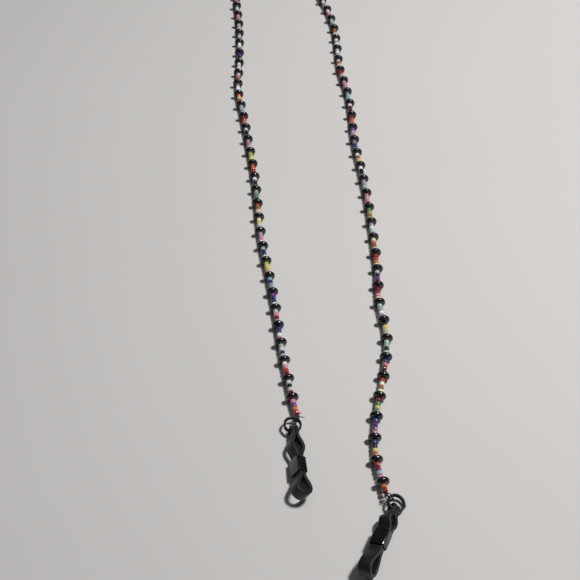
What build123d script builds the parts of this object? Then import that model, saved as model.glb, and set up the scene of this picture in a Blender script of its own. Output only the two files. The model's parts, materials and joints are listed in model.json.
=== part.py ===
# Beaded eyeglass retainer strap: glass beads strung on one thread, a split ring at each end,
# and on each ring a folded rubber loop with a sliding sleeve that grips a temple arm.
# Millimetres, +Z up. The strap lies on a flat surface at Z = 0; +Y runs from the grips to the neck.
import os
from build123d import *
from math import atan2, cos, degrees, pi, radians, sin, sqrt, tan

os.makedirs("parts", exist_ok=True)

# ---- driving dimensions ----
DISC_D = 4.65           # black disc bead: width, length along the thread, bore
DISC_L = 1.95
DISC_BORE = 0.9
SEED_D = 1.9            # seed bead
SEED_L = 1.45
SEED_BORE = 0.76
SEEDS_PER_GAP = 4
THREAD_D = 0.4
LEFT_GAP = 0.056        # slack between neighbouring beads on the left strand
RIGHT_GAP = 0.136       # and on the right strand
RING_R = 2.75           # split ring: mid radius of the wire and the wire's diameter
RING_WIRE = 0.7
KNOT_R = 0.55           # thread knot
STRIP_T = 1.1           # rubber strip: thickness and width
STRIP_W = 4.2
TAB_W = 3.8             # width of the pierced tab ends
TAB_HOLE_R = 1.28
TAB_TIP = 1.75          # hole centre to tab tip
LEG_GAP = 0.15          # between the two legs where they lie together
LOBE_IN = 1.4           # how far each leg bows out in the upper lobe
LOBE_START = 1.9        # along the grip, from the hole centre
WAIST_BEFORE = 3.2      # flat waist before and after the sleeve's middle
WAIST_AFTER = 3.5
GRIP_END_R = 1.9        # inner radius of the temple loop's round end
SLEEVE_L = 5.7          # slide sleeve
SLEEVE_W = 5.1
SLEEVE_H = 3.6
SLOT_W = 4.46
SLOT_H = 2.72
Z_THREAD = DISC_D / 2   # the discs rest on the surface
X0 = 3.94               # centres the whole strap on the origin
Y0 = 55.53

# ---- stringing pattern, from the left grip round the neck to the right grip ----
COLOURS = {
    "w": "white", "c": "cream", "y": "yellow", "l": "lime", "m": "mint", "e": "green",
    "s": "sky", "n": "navy", "u": "purple", "v": "mauve", "p": "pink", "r": "red",
    "d": "garnet", "o": "orange", "b": "amber", "k": "black", "g": "grey",
}
LEFT = (
    "roup dwkw drpw wnwm pwnn gdpw wnnu gsns cyyl wnnm wpvv gwyc ccbo kegg vknw ddoo "
    "lyll wvpv gkkw corr wsms voco vwwg vbpw gwww nknn ggww wgwg pwpw wvpp ggwg wpvp"
).split()
NECK = "wmgw copc knvw rrdo smsw gwvg llyc nnkg wdrp".split()
RIGHT = (
    "wpvw wppv mmgm bocb wgwg wwgw wocm rrgg ppvv smsg wkdd rooc uvvv vnnv wbyc wkkv vgmg "
    "pvpd elbc gwmm cobc rroc wkud drpc mgwv kycc mmkm nprk rcbc dele nuup nkyo rdsp or"
).split()


def spot(x, y, z):
    """A point of the strap's lay, moved to the shared origin."""
    return Vector(x - X0, y - Y0, z)


def turned(v, axis, angle):
    """A vector turned about a unit axis, in degrees."""
    c = cos(radians(angle))
    s = sin(radians(angle))
    return v * c + axis.cross(v) * s + axis * (axis.dot(v) * (1 - c))


class Grip:
    """Where one ring and its rubber grip lie."""

    def __init__(self, name, centre, heading, pitch, rolls, lengths, knot_way, spread, ends):
        self.name = name
        face, tab, tilt = rolls
        # the sleeve's middle and the centre of the loop's round end, from the hole centre
        self.sleeve_x, self.end_x = lengths
        self.centre = spot(*centre)
        h = radians(heading)
        p = radians(pitch)
        self.along = Vector(sin(h) * cos(p), -cos(h) * cos(p), sin(p))
        level = Vector(-cos(h), -sin(h), 0)
        # direction of the pierced hole (the ring's tangent there), and across the legs
        self.hole_n = turned(level, self.along, tilt)
        self.leg_n = turned(level, self.along, face)
        if self.hole_n.Z < 0:
            self.hole_n = turned(level, self.along, -tilt)
            self.leg_n = turned(level, self.along, -face)
        # turn from the legs' broad faces to the tabs' faces, and to the hole
        away = self.hole_n.cross(self.leg_n).dot(self.along)
        self.tab_turn = radians(face - tab) * (1 if away < 0 else -1)
        self.hole_turn = radians(face - tilt) * (1 if away < 0 else -1)
        self.ring_n = self.hole_n.cross(self.along) * -1
        if self.ring_n.Z < 0:
            self.ring_n = self.ring_n * -1
        # the wire bows through the straight hole, so the hole's centre is a little inside its mid line
        self.hole = self.centre + self.along * (RING_R - 0.15)
        self.spread = spread
        self.ends = turned(self.along, self.ring_n, ends)
        self.shift = -self.stack_middle(self.along)
        # where the thread loops hold the ring, in the ring's own plane
        k = Vector(knot_way[0], knot_way[1], 0)
        k = Vector(k.X, k.Y, -(self.ring_n.X * k.X + self.ring_n.Y * k.Y) / self.ring_n.Z)
        self.knot_way = k.normalized()
        turned_by = spread * 45 / 360
        self.loop_r = sqrt((spread / 2 + RING_WIRE / 2 + turned_by) ** 2 + RING_WIRE ** 2 / 4)
        self.loop_r += THREAD_D / 2 + 0.08
        rise = self.ring_n * (self.shift + self.stack_middle(self.knot_way))
        self.knot = self.centre + self.knot_way * (RING_R + self.loop_r + 0.12) + rise

    def stack_middle(self, way):
        """Height of the two turns' middle over the ring's middle, in a direction from its centre."""
        x = way.dot(self.ends)
        y = way.dot(self.ring_n.cross(self.ends))
        return self.spread * (degrees(atan2(y, x)) % 360 / 360 - 0.5)


left = Grip("left", (0.85, -59.9, 2.35), 6.5, 4.7, (33, 24, 6), (14.2, 22.6),
            (0.42, 0.91), 0.76, -84)
right = Grip("right", (33.9, -88.7, 2.58), -25.0, 5.2, (66, 36, 13), (11.6, 21.9),
             (-0.8, 0.6), 0.9, 98)

# ---- thread route: start and end at the knots ----
MIDDLE = (
    (-0.2, -43.8), (-3.0, -28.5), (-5.2, -11.0), (-8.0, 7.0), (-11.5, 25.0),
    (-13.3, 44.0), (-15.0, 63.0), (-18.3, 84.0), (-21.1, 103.0), (-24.6, 121.0),
    (-24.3, 140.0), (-24.8, 160.0), (-25.9, 178.0), (-28.2, 197.0), (-25.0, 214.5),
    (-11.5, 226.5), (4.5, 221.0), (13.2, 205.0), (19.0, 187.5), (22.2, 170.0),
    (23.0, 153.0), (23.3, 137.0), (26.6, 120.5), (27.8, 103.0), (27.9, 86.0),
    (30.6, 65.0), (32.3, 46.0), (33.2, 27.0), (33.9, 9.0), (33.0, -6.0),
    (35.8, -21.5), (33.4, -38.0), (29.6, -54.0), (28.0, -67.0), (28.6, -76.0),
)
start_near = spot(1.1, -51.0, 2.4)
end_near = spot(30.1, -81.6, 2.6)
start = left.knot + (start_near - left.knot).normalized() * (KNOT_R + 0.03)
end = right.knot + (end_near - right.knot).normalized() * (KNOT_R + 0.03)
route = [start, start_near] + [spot(x, y, Z_THREAD) for x, y in MIDDLE] + [end_near, end]

radii = []
for a, b, c in zip(route[:-2], route[1:-1], route[2:]):
    half = radians((b - a).get_angle(c - b)) / 2
    radii.append(0.45 * min((b - a).length, (c - b).length) / tan(half))
print("thread bend radii:", [round(r, 1) for r in radii], "smallest", round(min(radii), 1))

with BuildPart() as stringing_thread:
    with BuildLine() as thread_line:
        FilletPolyline(*route, radius=radii)
    path = thread_line.wire()
    with BuildSketch(Plane(origin=path @ 0, z_dir=path % 0)):
        Circle(THREAD_D / 2)
    sweep(path=path)
stringing_thread.part.label = "stringing_thread"
export_step(stringing_thread.part, "parts/stringing_thread.step")
print("thread length:", round(path.length, 1), "volume ratio:",
      round(stringing_thread.part.volume / (path.length * pi * THREAD_D ** 2 / 4), 3))

# ---- the two bead shapes, axis along Z ----
with BuildPart() as seed_bead:
    with BuildSketch(Plane.XZ):
        with Locations(((SEED_D + SEED_BORE) / 4, 0)):
            Rectangle((SEED_D - SEED_BORE) / 2, SEED_L)
        fillet(vertices().group_by(Axis.X)[-1], 0.42)
    revolve(axis=Axis.Z)
with BuildPart() as disc_bead:
    with BuildSketch(Plane.XZ):
        with Locations(((DISC_D + DISC_BORE) / 4, 0)):
            Rectangle((DISC_D - DISC_BORE) / 2, DISC_L)
        fillet(vertices().group_by(Axis.X)[-1], 0.92)
    revolve(axis=Axis.Z)

# ---- places along the thread ----
bead_l = SEEDS_PER_GAP * SEED_L + DISC_L
lead = 0.12


def run_length(groups, gap):
    """Length of thread that groups of seeds take, with a disc after each."""
    seeds = sum(len(group) for group in groups)
    return seeds * (SEED_L + gap) + len(groups) * (DISC_L + gap)


left_run = run_length(LEFT, LEFT_GAP)
right_run = run_length(RIGHT, RIGHT_GAP) - DISC_L - RIGHT_GAP
rest = path.length - 2 * lead - left_run - right_run
NECK_GAP = (rest / len(NECK) - bead_l) / (SEEDS_PER_GAP + 1)
print("neck slack between beads:", round(NECK_GAP, 4))

seed_places = {name: [] for name in COLOURS.values()}
disc_places = {"left": [], "neck": [], "right": []}


def place(s):
    """Location at length s along the thread, Z along it."""
    u = s / path.length
    return Plane(origin=path @ u, z_dir=path % u).location


def string_beads(s, groups, strand, gap, last_disc=True):
    """Put groups of seeds, a disc after each, along the thread from length s on."""
    for n, group in enumerate(groups):
        for letter in group:
            seed_places[COLOURS[letter]].append(place(s + SEED_L / 2))
            s += SEED_L + gap
        if last_disc or n < len(groups) - 1:
            disc_places[strand].append(place(s + DISC_L / 2))
            s += DISC_L + gap
    return s


at = string_beads(lead, LEFT, "left", LEFT_GAP)
at = string_beads(at, NECK, "neck", NECK_GAP)
at = string_beads(at, RIGHT, "right", RIGHT_GAP, last_disc=False)
print("bead run ends", round(path.length - at, 2), "mm before the thread does")

for colour, places in seed_places.items():
    with BuildPart() as seeds:
        with Locations(*places):
            add(seed_bead.part)
    seeds.part.label = f"seed_beads_{colour}"
    export_step(seeds.part, f"parts/seed_beads_{colour}.step")
    print(seeds.part.label, len(places))
for strand, places in disc_places.items():
    with BuildPart() as discs:
        with Locations(*places):
            add(disc_bead.part)
    discs.part.label = f"disc_beads_{strand}"
    export_step(discs.part, f"parts/disc_beads_{strand}.step")
    box = discs.part.bounding_box()
    print(discs.part.label, len(places), box.min, box.max)

# ---- thread ends: knot, two loops round the ring's wire, cut tails ----
TAILS = {
    "left": ((0.62, 0.75, 0.20, 2.0), (0.93, -0.30, 0.22, 2.6)),
    "right": ((-0.55, -0.80, 0.10, 1.5),),
}
for g in (left, right):
    tangent = g.ring_n.cross(g.knot_way)
    with BuildPart() as thread_end:
        with Locations(Plane(origin=g.knot, z_dir=g.ring_n + g.knot_way).location):
            Sphere(KNOT_R)
        for lean in (-10, 8):
            way = turned(g.knot_way, g.ring_n, lean)
            hold = g.centre + way * RING_R + g.ring_n * (g.shift + g.stack_middle(way))
            with Locations(Plane(origin=hold, z_dir=turned(tangent, g.ring_n, lean)).location):
                Torus(g.loop_r, THREAD_D / 2)
        for x, y, z, length in TAILS[g.name]:
            with Locations(Plane(origin=g.knot, z_dir=(x, y, z)).location):
                Cylinder(THREAD_D * 0.42, length, align=(Align.CENTER, Align.CENTER, Align.MIN))
    thread_end.part.label = f"thread_end_{g.name}"
    export_step(thread_end.part, f"parts/thread_end_{g.name}.step")
    box = thread_end.part.bounding_box()
    print(thread_end.part.label, box.min, box.max)

# ---- split rings: two turns of round wire ----
for g in (left, right):
    with BuildPart() as split_ring:
        with BuildLine():
            coil = Helix(pitch=g.spread, height=2 * g.spread, radius=RING_R, center=(0, 0, -g.spread))
        with BuildSketch(Plane(origin=coil @ 0, z_dir=coil % 0)):
            Circle(RING_WIRE / 2)
        sweep(path=coil, is_frenet=True)
    where = Plane(origin=g.centre + g.ring_n * g.shift, x_dir=g.ends, z_dir=g.ring_n)
    placed = split_ring.part.moved(where.location)
    placed.label = f"split_ring_{g.name}"
    export_step(placed, f"parts/split_ring_{g.name}.step")
    box = placed.bounding_box()
    print(placed.label, box.min, box.max)

# ---- rubber loop in its own frame: X along the grip, Y across the legs, Z across the strip ----
LEG_Y = (STRIP_T + LEG_GAP) / 2
STATIONS = 9


def leg_section(waist, u):
    """Distance along, offset, slope factor, strip width and share of the twist at u in 0..1."""
    x = waist + (LOBE_START - waist) * u
    y = LEG_Y + LOBE_IN * sin(pi * u) ** 2
    slope = LOBE_IN * pi * sin(2 * pi * u) / (waist - LOBE_START)
    ease = max(0.0, min(1.0, (u - 0.15) / 0.85))
    ease = ease * ease * (3 - 2 * ease)
    return x, y, sqrt(1 + slope * slope), STRIP_W + (TAB_W - STRIP_W) * ease, ease


for g in (left, right):
    waist = (g.sleeve_x - WAIST_BEFORE, g.sleeve_x + WAIST_AFTER)
    with BuildPart() as rubber_loop:
        # waist and temple loop, one flat profile
        with BuildSketch(Plane.XY):
            with BuildLine():
                up = Line((waist[0], LEG_Y), (waist[1], LEG_Y))
                swell = Spline(
                    up @ 1, (g.end_x - 1.2, GRIP_END_R + STRIP_T / 2 - 0.28),
                    (g.end_x, GRIP_END_R + STRIP_T / 2), tangents=((1, 0), (1, 0)))
                RadiusArc(swell @ 1, (g.end_x + GRIP_END_R + STRIP_T / 2, 0),
                          GRIP_END_R + STRIP_T / 2)
                mirror(about=Plane.XZ)
            trace(line_width=STRIP_T)
        extrude(amount=STRIP_W / 2, both=True)
        # upper lobe, both legs, turning into the tabs
        for side in (1, -1):
            for i in range(STATIONS):
                x, y, wider, width, share = leg_section(waist[0], i / (STATIONS - 1))
                turn = g.tab_turn * share
                n = Vector(0, cos(turn), sin(turn)) * side
                with BuildSketch(Plane(origin=Vector(x, 0, 0) + n * y, x_dir=n, z_dir=(1, 0, 0))):
                    Rectangle(STRIP_T * wider, width)
            loft()
        # tabs, pierced for the ring
        n = Vector(0, cos(g.tab_turn), sin(g.tab_turn))
        for side in (1, -1):
            with BuildSketch(Plane(origin=n * (side * LEG_Y), x_dir=(1, 0, 0), z_dir=n)):
                Rectangle(LOBE_START, TAB_W, align=(Align.MIN, Align.CENTER))
                with Locations((TAB_W / 2 - TAB_TIP, 0)):
                    Circle(TAB_W / 2)
            extrude(amount=STRIP_T / 2, both=True)
        way = Vector(0, cos(g.hole_turn), sin(g.hole_turn))
        with Locations(Plane(origin=(0, 0, 0), z_dir=way).location):
            Cylinder(TAB_HOLE_R, 6, mode=Mode.SUBTRACT)
    with BuildPart() as slide_sleeve:
        with Locations((g.sleeve_x, 0, 0)):
            Box(SLEEVE_L, SLEEVE_H, SLEEVE_W)
        fillet(slide_sleeve.edges().filter_by(Axis.X), 0.55)
        with Locations((g.sleeve_x, 0, 0)):
            Box(SLEEVE_L + 1, SLOT_H, SLOT_W, mode=Mode.SUBTRACT)
    frame = Plane(origin=g.hole, x_dir=g.along, z_dir=g.along.cross(g.leg_n)).location
    for piece, title in ((rubber_loop, "rubber_loop"), (slide_sleeve, "slide_sleeve")):
        placed = piece.part.moved(frame)
        placed.label = f"{title}_{g.name}"
        export_step(placed, f"parts/{title}_{g.name}.step")
        box = placed.bounding_box()
        print(placed.label, len(placed.solids()), "solids", box.min, box.max)
    for title in ("centre", "hole", "along", "hole_n", "leg_n", "ring_n", "knot_way", "knot"):
        v = getattr(g, title)
        print(g.name, title, round(v.X, 5), round(v.Y, 5), round(v.Z, 5))
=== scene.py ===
# Beaded eyeglass retainer strap lying on a pale table: glass beads on one thread, a split ring
# at each end, and on each ring a folded rubber loop with a sliding sleeve. Metres, +Z up.
import bpy
import json
import math
import random
from mathutils import Matrix, Vector


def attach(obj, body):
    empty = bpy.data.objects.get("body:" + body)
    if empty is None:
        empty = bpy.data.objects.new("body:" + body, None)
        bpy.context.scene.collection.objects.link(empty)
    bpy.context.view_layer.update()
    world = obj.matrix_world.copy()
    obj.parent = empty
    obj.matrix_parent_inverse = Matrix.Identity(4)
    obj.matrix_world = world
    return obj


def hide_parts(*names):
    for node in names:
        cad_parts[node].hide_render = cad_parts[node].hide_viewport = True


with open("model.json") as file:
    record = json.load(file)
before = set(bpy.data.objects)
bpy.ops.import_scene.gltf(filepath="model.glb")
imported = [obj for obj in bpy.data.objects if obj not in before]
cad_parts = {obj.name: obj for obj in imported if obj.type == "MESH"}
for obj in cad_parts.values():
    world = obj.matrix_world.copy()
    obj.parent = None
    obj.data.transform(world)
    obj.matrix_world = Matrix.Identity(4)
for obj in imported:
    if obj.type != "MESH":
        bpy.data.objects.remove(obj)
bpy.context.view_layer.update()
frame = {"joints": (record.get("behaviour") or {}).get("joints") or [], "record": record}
MM = 0.001
ORIGIN = Vector((3.94, 55.53, 0.0))
record = frame["record"]
joints = {j["name"]: j for j in frame["joints"]}
mounts = {m["name"]: m for m in record["mounts"]}

# ---- camera ----
view = bpy.data.cameras.new("view")
camera = bpy.data.objects.new("view", view)
bpy.context.scene.collection.objects.link(camera)
camera.location = (-0.00394, -0.28041, 0.27005)
camera.rotation_euler = (math.radians(40.0), 0.0, 0.0)
view.sensor_width = 36.0
view.lens = 57.1
view.clip_start = 0.01
view.clip_end = 20.0
bpy.context.scene.camera = camera

# ---- driving sizes, millimetres ----
DISC_D = 4.65
DISC_L = 1.95
DISC_BORE = 0.9
SEED_D = 1.9
SEED_L = 1.45
SEED_BORE = 0.76
THREAD_D = 0.4
LEFT_GAP = 0.056
RIGHT_GAP = 0.136
LEAD = 0.12
RING_R = 2.75
RING_WIRE = 0.7
STRIP_T = 1.1
STRIP_W = 4.2
TAB_W = 3.8
TAB_HOLE_R = 1.28
TAB_TIP = 1.75
LEG_GAP = 0.15
LOBE_IN = 1.4
LOBE_START = 1.9
WAIST_BEFORE = 3.2
WAIST_AFTER = 3.5
GRIP_END_R = 1.9
SLEEVE_L = 5.7
SLEEVE_W = 5.1
SLEEVE_H = 3.6
SLOT_W = 4.46
SLOT_H = 2.72
LEG_Y = (STRIP_T + LEG_GAP) / 2
SPREAD = {"left": 0.76, "right": 0.9}
RING_ENDS = {"left": -84.0, "right": 98.0}
TAB_TWIST = {"left": 9.0, "right": 30.0}
SLEEVE_X = {"left": 14.2, "right": 11.6}
GRIP_END_X = {"left": 22.6, "right": 21.9}
CREASE = math.radians(38)
CUTTER_REACH = 0.003

# ---- stringing pattern, from the left grip round the neck to the right grip ----
COLOURS = {
    "w": "white", "c": "cream", "y": "yellow", "l": "lime", "m": "mint", "e": "green",
    "s": "sky", "n": "navy", "u": "purple", "v": "mauve", "p": "pink", "r": "red",
    "d": "garnet", "o": "orange", "b": "amber", "k": "black", "g": "grey",
}
LEFT = (
    "roup dwkw drpw wnwm pwnn gdpw wnnu gsns cyyl wnnm wpvv gwyc ccbo kegg vknw ddoo "
    "lyll wvpv gkkw corr wsms voco vwwg vbpw gwww nknn ggww wgwg pwpw wvpp ggwg wpvp"
).split()
NECK = "wmgw copc knvw rrdo smsw gwvg llyc nnkg wdrp".split()
RIGHT = (
    "wpvw wppv mmgm bocb wgwg wwgw wocm rrgg ppvv smsg wkdd rooc uvvv vnnv wbyc wkkv vgmg "
    "pvpd elbc gwmm cobc rroc wkud drpc mgwv kycc mmkm nprk rcbc dele nuup nkyo rdsp or"
).split()
SEEDS = 4
BEAD_TILT = 0.03
SEED_SPREAD = 0.04
DISC_SPREAD = 0.012


def linked(obj):
    """Puts a new object in the scene."""
    bpy.context.scene.collection.objects.link(obj)
    return obj


def mesh_piece(name, points, faces, material, smooth=True):
    """A mesh object from points in metres."""
    mesh = bpy.data.meshes.new(name)
    mesh.from_pydata([tuple(p) for p in points], [], faces)
    mesh.update()
    if smooth:
        mesh.shade_smooth()
    mesh.materials.append(material)
    return linked(bpy.data.objects.new(name, mesh))


# ---- materials ----
def new_material(name):
    """A node material with its tree, shader and Object coordinates ready."""
    material = bpy.data.materials.new(name)
    material.use_nodes = True
    tree = material.node_tree
    shader = tree.nodes["Principled BSDF"]
    place = tree.nodes.new("ShaderNodeTexCoord")
    return material, tree, shader, place


def add_noise(tree, place, scale, detail=3.0, roughness=0.55):
    """Noise on Object coordinates."""
    noise = tree.nodes.new("ShaderNodeTexNoise")
    noise.inputs["Scale"].default_value = scale
    noise.inputs["Detail"].default_value = detail
    noise.inputs["Roughness"].default_value = roughness
    tree.links.new(place.outputs["Object"], noise.inputs["Vector"])
    return noise


def add_range(tree, source, low, high, from_low=0.0, from_high=1.0):
    """Maps a value from one range to another."""
    node = tree.nodes.new("ShaderNodeMapRange")
    node.inputs["From Min"].default_value = from_low
    node.inputs["From Max"].default_value = from_high
    node.inputs["To Min"].default_value = low
    node.inputs["To Max"].default_value = high
    tree.links.new(source, node.inputs["Value"])
    return node.outputs["Result"]


def add_bump(tree, shader, height, strength, distance):
    """Bump from a height."""
    bump = tree.nodes.new("ShaderNodeBump")
    bump.inputs["Strength"].default_value = strength
    bump.inputs["Distance"].default_value = distance
    tree.links.new(height, bump.inputs["Height"])
    tree.links.new(bump.outputs["Normal"], shader.inputs["Normal"])


def add_ramp(tree, source, stops):
    """A colour ramp from a list of (position, colour)."""
    ramp = tree.nodes.new("ShaderNodeValToRGB")
    elements = ramp.color_ramp.elements
    while len(elements) < len(stops):
        elements.new(0.5)
    for element, (position, colour) in zip(elements, stops):
        element.position = position
        element.color = (*colour, 1.0)
    tree.links.new(source, ramp.inputs["Fac"])
    return ramp.outputs["Color"]


def scaled(colour, factor):
    """A colour made darker or lighter, kept inside 0..1."""
    return tuple(min(1.0, c * factor) for c in colour)


def glass_bead(name, colour, clear, rough):
    """Pressed glass: each bead its own shade, faint streaks of colour, a polished skin."""
    material, tree, shader, place = new_material(name)
    shade = tree.nodes.new("ShaderNodeAttribute")
    shade.attribute_name = "shade"
    streaks = add_noise(tree, place, 900.0, 2.0)
    mix = tree.nodes.new("ShaderNodeMath")
    mix.operation = "MULTIPLY_ADD"
    mix.inputs[1].default_value = 0.35
    tree.links.new(streaks.outputs["Fac"], mix.inputs[0])
    tree.links.new(shade.outputs["Fac"], mix.inputs[2])
    tint = add_ramp(tree, mix.outputs["Value"], [
        (0.10, scaled(colour, 0.62)), (0.55, colour), (1.0, scaled(colour, 1.32)),
    ])
    tree.links.new(tint, shader.inputs["Base Color"])
    tree.links.new(add_range(tree, streaks.outputs["Fac"], rough * 0.7, rough * 1.5),
                   shader.inputs["Roughness"])
    shader.inputs["Transmission Weight"].default_value = clear
    shader.inputs["IOR"].default_value = 1.52
    shader.inputs["Coat Weight"].default_value = 0.5
    shader.inputs["Coat Roughness"].default_value = 0.06
    add_bump(tree, shader, streaks.outputs["Fac"], 0.25, 0.00004)
    return material


def black_disc_glass():
    """Deep black polished glass with a faint smear in its gloss."""
    material, tree, shader, place = new_material("glass_disc_black")
    smear = add_noise(tree, place, 420.0, 4.0)
    tint = add_ramp(tree, smear.outputs["Fac"], [
        (0.3, (0.0015, 0.0012, 0.0030)), (0.7, (0.0080, 0.0055, 0.0120)),
    ])
    tree.links.new(tint, shader.inputs["Base Color"])
    tree.links.new(add_range(tree, smear.outputs["Fac"], 0.10, 0.26), shader.inputs["Roughness"])
    shader.inputs["IOR"].default_value = 1.55
    shader.inputs["Coat Weight"].default_value = 0.35
    shader.inputs["Coat Roughness"].default_value = 0.05
    add_bump(tree, shader, smear.outputs["Fac"], 0.2, 0.00006)
    return material


def thread_fibre():
    """Dark plum thread with a twist."""
    material, tree, shader, place = new_material("thread_fibre")
    strands = add_noise(tree, place, 5200.0, 2.0)
    tint = add_ramp(tree, strands.outputs["Fac"], [
        (0.3, (0.008, 0.005, 0.007)), (0.7, (0.040, 0.024, 0.030)),
    ])
    tree.links.new(tint, shader.inputs["Base Color"])
    shader.inputs["Roughness"].default_value = 0.62
    shader.inputs["Sheen Weight"].default_value = 0.08
    add_bump(tree, shader, strands.outputs["Fac"], 0.6, 0.00008)
    return material


def black_wire():
    """Black plated spring wire, a little duller where it has rubbed."""
    material, tree, shader, place = new_material("black_wire_plate")
    rub = add_noise(tree, place, 700.0, 5.0)
    tint = add_ramp(tree, rub.outputs["Fac"], [
        (0.35, (0.004, 0.004, 0.005)), (0.72, (0.020, 0.020, 0.021)),
    ])
    tree.links.new(tint, shader.inputs["Base Color"])
    tree.links.new(add_range(tree, rub.outputs["Fac"], 0.22, 0.42), shader.inputs["Roughness"])
    shader.inputs["Metallic"].default_value = 0.35
    add_bump(tree, shader, rub.outputs["Fac"], 0.2, 0.00005)
    return material


def satin_rubber():
    """Charcoal rubber strip: satin skin, very fine grain, faint long mould streaks."""
    material, tree, shader, place = new_material("satin_rubber")
    grain = add_noise(tree, place, 6500.0, 3.0)
    cloud = add_noise(tree, place, 260.0, 4.0)
    tint = add_ramp(tree, cloud.outputs["Fac"], [
        (0.3, (0.0065, 0.0070, 0.0090)), (0.7, (0.0135, 0.0145, 0.0180)),
    ])
    tree.links.new(tint, shader.inputs["Base Color"])
    tree.links.new(add_range(tree, cloud.outputs["Fac"], 0.34, 0.48), shader.inputs["Roughness"])
    shader.inputs["Specular IOR Level"].default_value = 0.42
    add_bump(tree, shader, grain.outputs["Fac"], 0.35, 0.00003)
    return material


def sleeve_gloss():
    """Black gloss moulded plastic."""
    material, tree, shader, place = new_material("sleeve_gloss")
    haze = add_noise(tree, place, 500.0, 4.0)
    tint = add_ramp(tree, haze.outputs["Fac"], [
        (0.3, (0.003, 0.003, 0.004)), (0.7, (0.007, 0.007, 0.009)),
    ])
    tree.links.new(tint, shader.inputs["Base Color"])
    tree.links.new(add_range(tree, haze.outputs["Fac"], 0.10, 0.22), shader.inputs["Roughness"])
    shader.inputs["Coat Weight"].default_value = 0.4
    shader.inputs["Coat Roughness"].default_value = 0.08
    add_bump(tree, shader, haze.outputs["Fac"], 0.15, 0.00005)
    return material


def table_top():
    """Plain pale table."""
    material, tree, shader, place = new_material("table_top")
    cloud = add_noise(tree, place, 6.0, 3.0)
    tint = add_ramp(tree, cloud.outputs["Fac"], [
        (0.3, (0.60, 0.585, 0.575)), (0.7, (0.615, 0.60, 0.59)),
    ])
    tree.links.new(tint, shader.inputs["Base Color"])
    shader.inputs["Roughness"].default_value = 0.7
    shader.inputs["Specular IOR Level"].default_value = 0.25
    return material


# colour, how clear the glass is, roughness
SEED_GLASS = {
    "white": ((0.78, 0.76, 0.77), 0.10, 0.14),
    "cream": ((0.78, 0.69, 0.47), 0.10, 0.16),
    "yellow": ((0.80, 0.66, 0.20), 0.15, 0.14),
    "lime": ((0.52, 0.62, 0.17), 0.15, 0.14),
    "mint": ((0.42, 0.58, 0.50), 0.15, 0.15),
    "green": ((0.10, 0.24, 0.08), 0.20, 0.12),
    "sky": ((0.28, 0.46, 0.56), 0.20, 0.14),
    "navy": ((0.030, 0.045, 0.17), 0.15, 0.10),
    "purple": ((0.17, 0.055, 0.26), 0.20, 0.10),
    "mauve": ((0.42, 0.30, 0.42), 0.20, 0.14),
    "pink": ((0.68, 0.28, 0.36), 0.20, 0.14),
    "red": ((0.43, 0.035, 0.030), 0.20, 0.10),
    "garnet": ((0.20, 0.010, 0.028), 0.20, 0.10),
    "orange": ((0.60, 0.16, 0.055), 0.15, 0.12),
    "amber": ((0.36, 0.16, 0.04), 0.25, 0.12),
    "black": ((0.012, 0.012, 0.014), 0.0, 0.08),
    "grey": ((0.34, 0.35, 0.37), 0.15, 0.15),
}
seed_materials = {n: glass_bead(f"glass_{n}", *v) for n, v in SEED_GLASS.items()}
disc_material = black_disc_glass()
thread_material = thread_fibre()
wire_material = black_wire()
rubber_material = satin_rubber()
sleeve_material = sleeve_gloss()

# ---- where each ring and grip lies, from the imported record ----


class Grip:
    """The frame of one ring and its rubber grip."""

    def __init__(self, side):
        self.side = side
        ring = joints[f"ring_turn_{side}"]
        swing = joints[f"grip_swing_{side}"]
        self.along = Vector(joints[f"sleeve_slide_{side}"]["axis"]).normalized()
        self.ring_n = Vector(ring["axis"]).normalized()
        self.tab_n = Vector(swing["axis"]).normalized()
        self.centre = Vector(ring["pos_m"]) / MM
        self.hole = Vector(swing["pos_m"]) / MM
        across = Vector(mounts[f"temple_loop_{side}"]["axis"]).normalized()
        self.leg_n = self.along.cross(across).normalized()
        self.width_n = self.along.cross(self.leg_n)
        self.ends = Matrix.Rotation(math.radians(RING_ENDS[side]), 3, self.ring_n) @ self.along
        self.shift = -self.stack_middle(self.along)
        twist = TAB_TWIST[side]
        away = self.tab_n.cross(self.leg_n).dot(self.along)
        self.twist = math.radians(twist if away < 0 else -twist)

    def stack_middle(self, way):
        """Height of the turns' middle over the ring's, in a direction from its centre."""
        x = way.dot(self.ends)
        y = way.dot(self.ring_n.cross(self.ends))
        return SPREAD[self.side] * (math.degrees(math.atan2(y, x)) % 360 / 360 - 0.5)

    def place(self, x, y, z):
        """A point of the grip's own frame, in metres in the shared frame."""
        return (self.hole + self.along * x + self.leg_n * y + self.width_n * z) * MM


grips = {side: Grip(side) for side in ("left", "right")}

# ---- the thread: the same route as the CAD tube, as one smooth line ----
MIDDLE = (
    (-0.2, -43.8), (-3.0, -28.5), (-5.2, -11.0), (-8.0, 7.0), (-11.5, 25.0),
    (-13.3, 44.0), (-15.0, 63.0), (-18.3, 84.0), (-21.1, 103.0), (-24.6, 121.0),
    (-24.3, 140.0), (-24.8, 160.0), (-25.9, 178.0), (-28.2, 197.0), (-25.0, 214.5),
    (-11.5, 226.5), (4.5, 221.0), (13.2, 205.0), (19.0, 187.5), (22.2, 170.0),
    (23.0, 153.0), (23.3, 137.0), (26.6, 120.5), (27.8, 103.0), (27.9, 86.0),
    (30.6, 65.0), (32.3, 46.0), (33.2, 27.0), (33.9, 9.0), (33.0, -6.0),
    (35.8, -21.5), (33.4, -38.0), (29.6, -54.0), (28.0, -67.0), (28.6, -76.0),
)
KNOTS = {"left": Vector((-1.378, -111.755, 2.159)), "right": Vector((26.667, -141.802, 3.177))}
KNOT_R = 0.55
KNOT_CLEAR = 0.03
start_near = Vector((1.1, -51.0, 2.4)) - ORIGIN
end_near = Vector((30.1, -81.6, 2.6)) - ORIGIN
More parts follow.
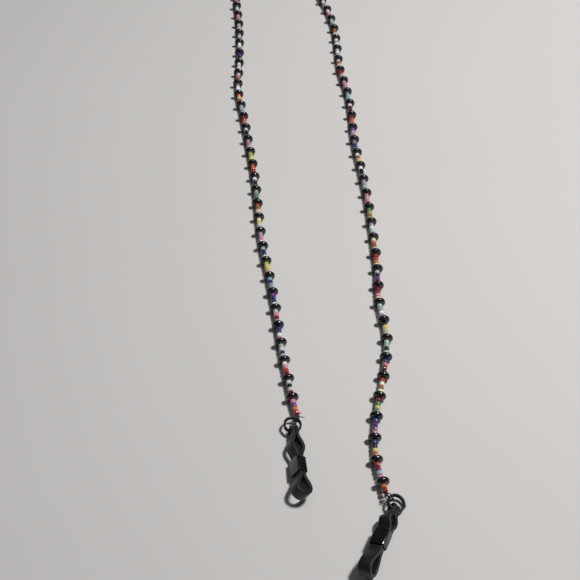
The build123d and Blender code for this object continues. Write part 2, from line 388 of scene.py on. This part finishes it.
start = KNOTS["left"] + (start_near - KNOTS["left"]).normalized() * (KNOT_R + KNOT_CLEAR)
end = KNOTS["right"] + (end_near - KNOTS["right"]).normalized() * (KNOT_R + KNOT_CLEAR)
route = [start, start_near] + [Vector((x, y, DISC_D / 2)) - ORIGIN for x, y in MIDDLE]
route += [end_near, end]


def smooth_line(name, points, depth):
    """A smooth open line through control points in metres."""
    curve = bpy.data.curves.new(name, "CURVE")
    curve.dimensions = "3D"
    curve.resolution_u = 24
    curve.render_resolution_u = 24
    curve.bevel_depth = depth
    curve.bevel_resolution = 3
    spline = curve.splines.new("NURBS")
    spline.points.add(len(points) - 1)
    for point, at in zip(spline.points, points):
        point.co = (*at, 1.0)
    spline.order_u = 3
    spline.use_endpoint_u = True
    return linked(bpy.data.objects.new(name, curve))


guide = smooth_line("thread_guide", [p * MM for p in route], 0.0)
bpy.context.view_layer.update()
line_mesh = bpy.data.meshes.new_from_object(guide.evaluated_get(
    bpy.context.evaluated_depsgraph_get()))
line = [v.co.copy() for v in line_mesh.vertices]
bpy.data.objects.remove(guide)
reach = [0.0]
for a, b in zip(line, line[1:]):
    reach.append(reach[-1] + (b - a).length)
THREAD_LENGTH = reach[-1]

thread = smooth_line("stringing_thread_line", [p * MM for p in route], THREAD_D / 2 * MM)
thread.data.materials.append(thread_material)
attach(thread, "strand")
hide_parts("stringing_thread")


def on_line(s):
    """Point and direction at a length in metres along the thread."""
    low, high = 0, len(reach) - 1
    while high - low > 1:
        middle = (low + high) // 2
        if reach[middle] <= s:
            low = middle
        else:
            high = middle
    part = (s - reach[low]) / (reach[high] - reach[low])
    ahead = line[min(high + 1, len(line) - 1)] - line[max(low - 1, 0)]
    return line[low].lerp(line[high], part), ahead.normalized()


# ---- beads: places along the thread ----
BEADS_L = SEEDS * SEED_L + DISC_L


def run_length(groups, gap):
    """Length of thread, in millimetres, that groups of seeds take with a disc after each."""
    return sum(len(group) for group in groups) * (SEED_L + gap) + len(groups) * (DISC_L + gap)


left_run = run_length(LEFT, LEFT_GAP)
right_run = run_length(RIGHT, RIGHT_GAP) - DISC_L - RIGHT_GAP
rest = THREAD_LENGTH / MM - 2 * LEAD - left_run - right_run
NECK_GAP = (rest / len(NECK) - BEADS_L) / (SEEDS + 1)
chance = random.Random(55)
seed_places = {name: [] for name in COLOURS.values()}
disc_places = {"left": [], "neck": [], "right": []}


def one_bead(s, size):
    """Place, heading, shade, size and roll of a bead whose middle is at length s, millimetres."""
    point, heading = on_line(s * MM)
    lean = Vector([chance.gauss(0.0, BEAD_TILT) for _ in range(3)])
    return (point, (heading + lean).normalized(), chance.uniform(0.0, 0.75),
            1.0 + chance.uniform(-size, size), chance.uniform(0.0, 6.28))


def string_beads(s, groups, strand, gap, last_disc=True):
    """Seeds and a disc after each group, from length s on."""
    for n, group in enumerate(groups):
        for letter in group:
            seed_places[COLOURS[letter]].append(one_bead(s + SEED_L / 2, SEED_SPREAD))
            s += SEED_L + gap
        if last_disc or n < len(groups) - 1:
            disc_places[strand].append(one_bead(s + DISC_L / 2, DISC_SPREAD))
            s += DISC_L + gap
    return s


at = string_beads(LEAD, LEFT, "left", LEFT_GAP)
at = string_beads(at, NECK, "neck", NECK_GAP)
at = string_beads(at, RIGHT, "right", RIGHT_GAP, last_disc=False)


# ---- beads: one node tree strings any bead on its places ----
def bead_tree():
    """A ring-shaped bead with a rounded rim, put at each point and turned along the thread."""
    tree = bpy.data.node_groups.new("strung_beads", "GeometryNodeTree")
    face = tree.interface
    face.new_socket(name="Places", in_out="INPUT", socket_type="NodeSocketGeometry")
    for name in ("Diameter", "Bore", "Length", "Rim radius"):
        face.new_socket(name=name, in_out="INPUT", socket_type="NodeSocketFloat")
    for name in ("Segments", "Rim steps"):
        face.new_socket(name=name, in_out="INPUT", socket_type="NodeSocketInt")
    face.new_socket(name="Material", in_out="INPUT", socket_type="NodeSocketMaterial")
    face.new_socket(name="Beads", in_out="OUTPUT", socket_type="NodeSocketGeometry")
    nodes, links = tree.nodes, tree.links
    given = nodes.new("NodeGroupInput")
    result = nodes.new("NodeGroupOutput")

    def maths(operation, a, b):
        node = nodes.new("ShaderNodeMath")
        node.operation = operation
        for socket, value in zip(node.inputs, (a, b)):
            if isinstance(value, float):
                socket.default_value = value
            else:
                links.new(value, socket)
        return node.outputs["Value"]

    wall = maths("MULTIPLY", maths("SUBTRACT", given.outputs["Diameter"],
                                   given.outputs["Bore"]), 0.5)
    middle = maths("MULTIPLY", maths("ADD", given.outputs["Diameter"],
                                     given.outputs["Bore"]), 0.25)
    hoop = nodes.new("GeometryNodeCurvePrimitiveCircle")
    links.new(given.outputs["Segments"], hoop.inputs["Resolution"])
    links.new(middle, hoop.inputs["Radius"])
    section = nodes.new("GeometryNodeCurvePrimitiveQuadrilateral")
    links.new(wall, section.inputs["Width"])
    links.new(given.outputs["Length"], section.inputs["Height"])
    rim = nodes.new("GeometryNodeFilletCurve")
    rim.inputs["Limit Radius"].default_value = True
    if hasattr(rim, "mode"):
        rim.mode = "POLY"
    links.new(section.outputs["Curve"], rim.inputs["Curve"])
    links.new(given.outputs["Rim radius"], rim.inputs["Radius"])
    links.new(given.outputs["Rim steps"], rim.inputs["Count"])
    bead = nodes.new("GeometryNodeCurveToMesh")
    links.new(hoop.outputs["Curve"], bead.inputs["Curve"])
    links.new(rim.outputs["Curve"], bead.inputs["Profile Curve"])
    soft = nodes.new("GeometryNodeSetShadeSmooth")
    links.new(bead.outputs["Mesh"], soft.inputs["Geometry"])

    def named(kind, name):
        node = nodes.new("GeometryNodeInputNamedAttribute")
        node.data_type = kind
        node.inputs["Name"].default_value = name
        return node.outputs["Attribute"]

    aim = nodes.new("FunctionNodeAlignRotationToVector")
    aim.axis = "Z"
    links.new(named("FLOAT_VECTOR", "heading"), aim.inputs["Vector"])
    spin = nodes.new("FunctionNodeAxisAngleToRotation")
    spin.inputs["Axis"].default_value = (0.0, 0.0, 1.0)
    links.new(named("FLOAT", "roll"), spin.inputs["Angle"])
    turn = nodes.new("FunctionNodeRotateRotation")
    turn.rotation_space = "LOCAL"
    links.new(aim.outputs["Rotation"], turn.inputs["Rotation"])
    links.new(spin.outputs["Rotation"], turn.inputs["Rotate By"])
    dots = nodes.new("GeometryNodeMeshToPoints")
    links.new(given.outputs["Places"], dots.inputs["Mesh"])
    copies = nodes.new("GeometryNodeInstanceOnPoints")
    links.new(dots.outputs["Points"], copies.inputs["Points"])
    links.new(soft.outputs["Geometry"], copies.inputs["Instance"])
    links.new(turn.outputs["Rotation"], copies.inputs["Rotation"])
    links.new(named("FLOAT", "size"), copies.inputs["Scale"])
    real = nodes.new("GeometryNodeRealizeInstances")
    links.new(copies.outputs["Instances"], real.inputs["Geometry"])
    paint = nodes.new("GeometryNodeSetMaterial")
    links.new(real.outputs["Geometry"], paint.inputs["Geometry"])
    links.new(given.outputs["Material"], paint.inputs["Material"])
    links.new(paint.outputs["Geometry"], result.inputs["Beads"])
    return tree


beads = bead_tree()


def strung(name, places, sizes, material, node):
    """Beads on their places as one plain mesh that replaces a CAD node."""
    dots = bpy.data.meshes.new(f"{name}_places")
    dots.from_pydata([p[0] for p in places], [], [])
    heading = dots.attributes.new("heading", "FLOAT_VECTOR", "POINT")
    heading.data.foreach_set("vector", [c for p in places for c in p[1]])
    for column, label in ((2, "shade"), (3, "size"), (4, "roll")):
        layer = dots.attributes.new(label, "FLOAT", "POINT")
        layer.data.foreach_set("value", [p[column] for p in places])
    carrier = linked(bpy.data.objects.new(f"{name}_carrier", dots))
    modifier = carrier.modifiers.new("beads", "NODES")
    modifier.node_group = beads
    for item in beads.interface.items_tree:
        if item.in_out == "INPUT" and item.name in sizes:
            modifier[item.identifier] = sizes[item.name]
        if item.in_out == "INPUT" and item.name == "Material":
            modifier[item.identifier] = material
    bpy.context.view_layer.update()
    graph = bpy.context.evaluated_depsgraph_get()
    mesh = bpy.data.meshes.new_from_object(
        carrier.evaluated_get(graph), preserve_all_data_layers=True, depsgraph=graph)
    mesh.name = name
    carrier.modifiers.remove(modifier)
    bpy.data.objects.remove(carrier)
    piece = linked(bpy.data.objects.new(name, mesh))
    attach(piece, "strand")
    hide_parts(node)
    return piece


seed_sizes = {"Diameter": SEED_D * MM, "Bore": SEED_BORE * MM, "Length": SEED_L * MM,
              "Rim radius": 0.42 * MM, "Segments": 14, "Rim steps": 2}
disc_sizes = {"Diameter": DISC_D * MM, "Bore": DISC_BORE * MM, "Length": DISC_L * MM,
              "Rim radius": 0.92 * MM, "Segments": 28, "Rim steps": 6}
for colour, places in seed_places.items():
    strung(f"seeds_{colour}", places, seed_sizes, seed_materials[colour],
           f"seed_beads_{colour}")
for strand, places in disc_places.items():
    strung(f"discs_{strand}", places, disc_sizes, disc_material,
           f"disc_beads_{strand}")


# ---- tubes: rings, knots, loops and tails ----
def skin(rows, sides):
    """Faces between rows of points, in the rows' order, each row a closed loop."""
    faces = []
    for i, j in rows:
        for k in range(sides):
            n = (k + 1) % sides
            faces.append((i * sides + k, i * sides + n, j * sides + n, j * sides + k))
    return faces


def capped(count, sides):
    """Faces of a closed tube of rows, with both ends shut."""
    return skin([(i, i + 1) for i in range(count - 1)], sides) + [
        tuple(reversed(range(sides))), tuple((count - 1) * sides + k for k in range(sides))]


def tube(points, radius, sides, taper=None):
    """Vertices and faces of a closed round tube along points."""
    count = len(points)
    way = (points[1] - points[0]).normalized()
    side = way.orthogonal().normalized()
    vertices = []
    for i, point in enumerate(points):
        ahead = (points[min(i + 1, count - 1)] - points[max(i - 1, 0)]).normalized()
        side = (side - ahead * side.dot(ahead)).normalized()
        other = ahead.cross(side)
        r = radius * (taper(i / (count - 1)) if taper else 1.0)
        for k in range(sides):
            a = 2 * math.pi * k / sides
            vertices.append(point + (side * math.cos(a) + other * math.sin(a)) * r)
    return vertices, capped(count, sides)


def joined(parts):
    """Several vertex and face lists as one."""
    vertices, faces = [], []
    for some, shapes in parts:
        base = len(vertices)
        vertices += some
        faces += [tuple(i + base for i in f) for f in shapes]
    return vertices, faces


def round_end(share):
    """Rounds a tube off at both ends."""
    edge = min(share, 1.0 - share) / 0.008
    return 1.0 if edge >= 1.0 else math.sqrt(max(0.12, 1.0 - (1.0 - edge) ** 2))


for side, grip in grips.items():
    spread = SPREAD[side]
    steps = 144
    coil = []
    other = grip.ring_n.cross(grip.ends)
    for i in range(steps + 1):
        a = 4 * math.pi * i / steps
        height = grip.shift - spread + 2 * spread * i / steps
        coil.append((grip.centre + (grip.ends * math.cos(a) + other * math.sin(a)) * RING_R
                     + grip.ring_n * height) * MM)
    ring = mesh_piece(f"ring_{side}", *tube(coil, RING_WIRE / 2 * MM, 16, round_end), wire_material)
    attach(ring, f"ring_{side}")
    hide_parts(f"split_ring_{side}")

# ---- thread ends: a knot, loops round the wire and cut tails ----
TAILS = {
    "left": ((0.62, 0.75, 0.20, 2.0), (0.93, -0.30, 0.22, 2.6)),
    "right": ((-0.55, -0.80, 0.10, 1.5),),
}
LOOP_LEANS = (-10.0, 8.0)
LOOP_CLEAR = 0.08
for side, grip in grips.items():
    knot = KNOTS[side]
    spread = SPREAD[side]
    flat = knot - grip.centre
    knot_way = (flat - grip.ring_n * flat.dot(grip.ring_n)).normalized()
    tangent = grip.ring_n.cross(knot_way)
    loop_r = math.hypot(spread / 2 + RING_WIRE / 2 + spread / 8, RING_WIRE / 2)
    loop_r += THREAD_D / 2 + LOOP_CLEAR
    parts = []
    for lean in LOOP_LEANS:
        swing = Matrix.Rotation(math.radians(lean), 3, grip.ring_n)
        way, across = swing @ knot_way, swing @ tangent
        hold = grip.centre + way * RING_R + grip.ring_n * (grip.shift + grip.stack_middle(way))
        loop = []
        for i in range(41):
            a = 2 * math.pi * i / 40
            ripple = 1.0 + 0.02 * math.sin(3 * a)
            loop.append((hold + (way * math.cos(a) + grip.ring_n * math.sin(a)) * loop_r * ripple
                         + across * 0.05 * math.sin(a)) * MM)
        parts.append(tube(loop, THREAD_D / 2 * MM, 10))
    winding = []
    for i in range(121):
        a = 2 * math.pi * i / 120
        r = 0.34 + 0.17 * math.cos(3 * a)
        lump = knot_way * (r * math.cos(2 * a)) + tangent * (r * math.sin(2 * a))
        winding.append((knot + lump + grip.ring_n * (0.26 * math.sin(3 * a))) * MM)
    parts.append(tube(winding, THREAD_D * 0.46 * MM, 10))
    for x, y, z, length in TAILS[side]:
        way = Vector((x, y, z)).normalized()
        droop = [knot + way * (length * t / 8) - Vector((0, 0, 0.012 * t * t)) * 0.5
                 for t in range(9)]
        parts.append(tube([p * MM for p in droop], THREAD_D * 0.42 * MM, 10,
                          lambda share: 1.0 - 0.25 * share))
    vertices, faces = joined(parts)
    ends = mesh_piece(f"thread_knot_{side}", vertices, faces, thread_material)
    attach(ends, "strand")
    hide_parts(f"thread_end_{side}")


# ---- rubber loops ----
def ease(t):
    """Smooth step from 0 to 1."""
    t = max(0.0, min(1.0, t))
    return t * t * (3 - 2 * t)


def leg_line(grip):
    """Centre line of the strip's upper half: along, offset, strip width, share of the twist."""
    before = SLEEVE_X[grip.side] - WAIST_BEFORE
    after = SLEEVE_X[grip.side] + WAIST_AFTER
    end_x = GRIP_END_X[grip.side]
    rows = []
    for i in range(15):
        a = math.pi / 2 * i / 14
        x = TAB_W / 2 - TAB_TIP - TAB_W / 2 * math.cos(a)
        rows.append((x, LEG_Y, max(0.5, TAB_W * math.sin(a)), 1.0))
    rows += [(LOBE_START * i / 6, LEG_Y, TAB_W, 1.0) for i in range(1, 6)]
    for i in range(41):
        u = 1 - i / 40
        share = ease((u - 0.15) / 0.85)
        rows.append((before + (LOBE_START - before) * u,
                     LEG_Y + LOBE_IN * math.sin(math.pi * u) ** 2,
                     STRIP_W + (TAB_W - STRIP_W) * share, share))
    rows += [(before + (after - before) * i / 10, LEG_Y, STRIP_W, 0.0)
             for i in range(1, 10)]
    out = GRIP_END_R + STRIP_T / 2
    for i in range(17):
        t = i / 16
        rows.append((after + (end_x - after) * t, LEG_Y + (out - LEG_Y) * ease(t),
                     STRIP_W, 0.0))
    for i in range(1, 15):
        a = math.pi / 2 * i / 14
        rows.append((end_x + out * math.sin(a), out * math.cos(a), STRIP_W, 0.0))
    return rows


def rounded_box(width, height, radius, steps=8):
    """Rounded rectangle in the grip's across-legs and across-strip directions."""
    points = []
    for cx, cy, start_angle in ((1, 1, 0), (-1, 1, 90), (-1, -1, 180), (1, -1, 270)):
        for k in range(steps + 1):
            a = math.radians(start_angle + 90 * k / steps)
            points.append((cx * (height / 2 - radius) + radius * math.cos(a),
                           cy * (width / 2 - radius) + radius * math.sin(a)))
    return points


def strip_section(width):
    """The strip's own section, its corners eased."""
    return rounded_box(width, STRIP_T, min(0.2, width / 2 - 0.01), 4)


def rubber_loop(grip):
    """The folded strip as one closed mesh, before its tabs are pierced."""
    upper = leg_line(grip)
    rows = upper + [(x, -y, w, s) for x, y, w, s in reversed(upper[:-1])]
    vertices = []
    for i, (x, y, width, share) in enumerate(rows):
        before, after = rows[max(i - 1, 0)], rows[min(i + 1, len(rows) - 1)]
        dx, dy = after[0] - before[0], after[1] - before[1]
        long = math.hypot(dx, dy)
        out = (-dy / long, dx / long)
        c, s = math.cos(grip.twist * share), math.sin(grip.twist * share)
        for t, z in strip_section(width):
            px, py = x + out[0] * t, y + out[1] * t
            vertices.append(grip.place(px, py * c - z * s, py * s + z * c))
    return vertices, capped(len(rows), len(strip_section(STRIP_W)))


def pierced(piece, point, way, radius):
    """Cuts a round hole through a piece and gives it a plain mesh."""
    vertices, faces = tube([point - way * CUTTER_REACH, point + way * CUTTER_REACH], radius, 40)
    cutter = mesh_piece("cutter", vertices, faces, rubber_material)
    cut = piece.modifiers.new("hole", "BOOLEAN")
    cut.operation = "DIFFERENCE"
    cut.solver = "EXACT"
    cut.object = cutter
    bpy.context.view_layer.update()
    graph = bpy.context.evaluated_depsgraph_get()
    mesh = bpy.data.meshes.new_from_object(piece.evaluated_get(graph), depsgraph=graph)
    piece.modifiers.remove(cut)
    piece.data = mesh
    bpy.data.objects.remove(cutter)
    mesh.shade_smooth()
    mesh.set_sharp_from_angle(angle=CREASE)


def sleeve(grip):
    """Rectangular tube with rounded long edges and softened mouths."""
    x0, x1 = SLEEVE_X[grip.side] - SLEEVE_L / 2, SLEEVE_X[grip.side] + SLEEVE_L / 2
    slot = rounded_box(SLOT_W, SLOT_H, 0.18)
    mouth = rounded_box(SLOT_W + 0.1, SLOT_H + 0.1, 0.23)
    rows = [(x0 + 0.08, slot), (x0 + 0.02, mouth)]
    for k in range(5):
        a = math.pi / 2 * k / 4
        inset = 0.16 * (1 - math.sin(a))
        rows.append((x0 + 0.16 * (1 - math.cos(a)),
                     rounded_box(SLEEVE_W - 2 * inset, SLEEVE_H - 2 * inset, 0.55 - inset)))
    back = [(x0 + x1 - x, shape) for x, shape in reversed(rows)]
    rows += back
    vertices = [grip.place(x, y, z) for x, shape in rows for y, z in shape]
    count = len(rows)
    return vertices, skin([(i, (i + 1) % count) for i in range(count)], len(slot))


for side, grip in grips.items():
    loop = mesh_piece(f"rubber_{side}", *rubber_loop(grip), rubber_material)
    pierced(loop, grip.hole * MM, grip.tab_n, TAB_HOLE_R * MM)
    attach(loop, f"grip_{side}")
    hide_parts(f"rubber_loop_{side}")
    slide = mesh_piece(f"sleeve_{side}", *sleeve(grip), sleeve_material)
    slide.data.set_sharp_from_angle(angle=CREASE)
    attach(slide, f"sleeve_{side}")
    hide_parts(f"slide_sleeve_{side}")

# ---- table and light ----
table = mesh_piece("table", [(-3, -3, 0), (3, -3, 0), (3, 3, 0), (-3, 3, 0)], [(0, 1, 2, 3)],
                   table_top(), smooth=False)


def soft_lamp(name, place, aim, size, power, colour):
    """A square soft lamp that shines at a point."""
    lamp = bpy.data.lights.new(name, "AREA")
    lamp.shape = "SQUARE"
    lamp.size = size
    lamp.energy = power
    lamp.color = colour
    holder = linked(bpy.data.objects.new(name, lamp))
    holder.location = place
    holder.rotation_euler = (Vector(aim) - Vector(place)).to_track_quat("-Z", "Y").to_euler()


soft_lamp("window", (0.37, 0.07, 0.80), (0.0, 0.0, 0.0), 0.12, 7.6, (1.0, 0.99, 0.98))
soft_lamp("ceiling", (-0.2, 0.5, 1.5), (0.0, 0.0, 0.0), 1.2, 1.3, (0.97, 0.98, 1.0))
world = bpy.data.worlds.new("room")
bpy.context.scene.world = world
world.use_nodes = True
world.node_tree.nodes["Background"].inputs["Color"].default_value = (0.95, 0.96, 1.0, 1.0)
world.node_tree.nodes["Background"].inputs["Strength"].default_value = 0.06
bpy.context.scene.view_settings.view_transform = "Standard"
